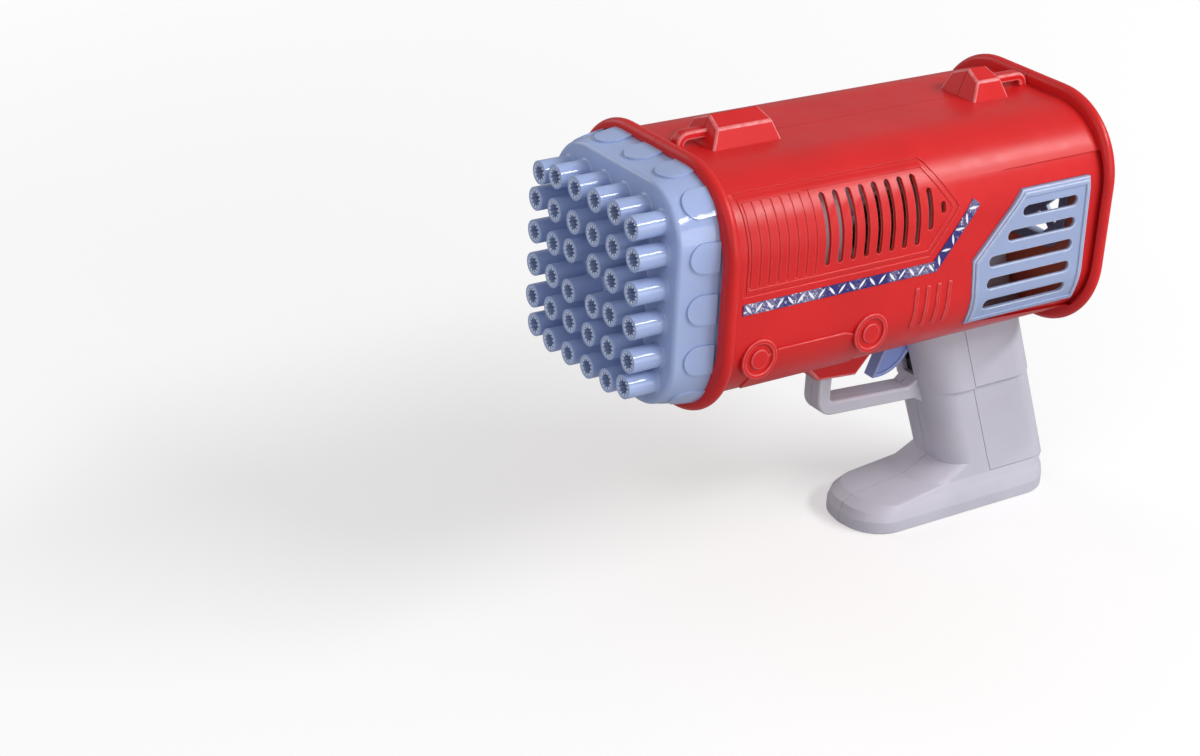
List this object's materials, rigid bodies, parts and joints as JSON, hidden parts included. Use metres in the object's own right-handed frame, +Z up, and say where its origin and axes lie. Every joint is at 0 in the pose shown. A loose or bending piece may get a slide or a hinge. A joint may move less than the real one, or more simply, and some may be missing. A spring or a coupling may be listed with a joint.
{
  "type": "bubble blower",
  "caption": "Hand-held battery bubble blower with a square head of ribbed nozzles, a slotted barrel, a raked pistol grip, a guarded trigger and an inner blower.",
  "frame": {"origin": "centre of the bounding box on the ground plane, under the barrel's mid-plane", "axes": "+X along the barrel from the nozzles to the rear, +Y to the right of someone who aims it, +Z up from the foot's sole"},
  "size_m": [0.228, 0.099, 0.1828],
  "materials": {
    "red_plastic": "satin moulded",
    "blue_plastic": "satin moulded",
    "grey_plastic": "moulded",
    "strip_film": "printed with pale dashes",
    "dark_plastic": "moulded",
    "white_plastic": "moulded",
    "cell_jacket": "plain sleeve",
    "motor_can": "plated",
    "steel": "plated",
    "board": "circuit board",
    "lens": "clear dome"
  },
  "bodies": {
    "gun": {"left_housing": "red_plastic", "right_housing": "red_plastic", "nozzle_head": "blue_plastic", "left_vent_panel": "blue_plastic", "right_vent_panel": "blue_plastic", "left_strip": "strip_film", "right_strip": "strip_film", "rear_grille": "blue_plastic", "left_grip": "grey_plastic", "right_grip": "grey_plastic", "battery_tray": "dark_plastic", "batteries": "cell_jacket", "battery_contacts": "steel", "trigger_pin": "steel", "trigger_spring": "steel", "switch_body": "dark_plastic", "blower_case_left": "grey_plastic", "blower_case_right": "grey_plastic", "motor": "motor_can", "air_plenum": "grey_plastic", "led_board": "board", "led": "lens", "housing_screws": "steel", "grip_screws": "steel", "blower_screws": "steel"},
    "trigger": {"trigger": "blue_plastic"},
    "switch_button": {"switch_button": "red_plastic"},
    "impeller": {"impeller": "white_plastic", "motor_shaft": "steel"},
    "battery_cover": {"battery_cover": "grey_plastic", "battery_cover_screw": "steel"}
  },
  "joints": [
    {"name": "trigger_pull", "type": "hinge", "parent": "gun", "child": "trigger", "pos_m": [0.02448, 0, 0.095], "axis": [0, -1, 0], "range_deg": [0, 8], "stiffness_Nm_per_rad": 0.2, "springref_deg": -11.46, "deforming": ["trigger_spring"]},
    {"name": "button_press", "type": "slide", "parent": "gun", "child": "switch_button", "axis": [1, 0, 0], "range_m": [0, 0.0025]},
    {"name": "impeller_spin", "type": "hinge", "parent": "gun", "child": "impeller", "pos_m": [0.00419, 0, 0.1353], "axis": [0, 1, 0], "continuous": true},
    {"name": "cover_slide", "type": "slide", "parent": "gun", "child": "battery_cover", "axis": [1, 0, 0], "range_m": [0, 0.06]}
  ],
  "couplings": [
    {"joint": "button_press", "follows": "trigger_pull", "m_per_rad": 0.0172}
  ]
}
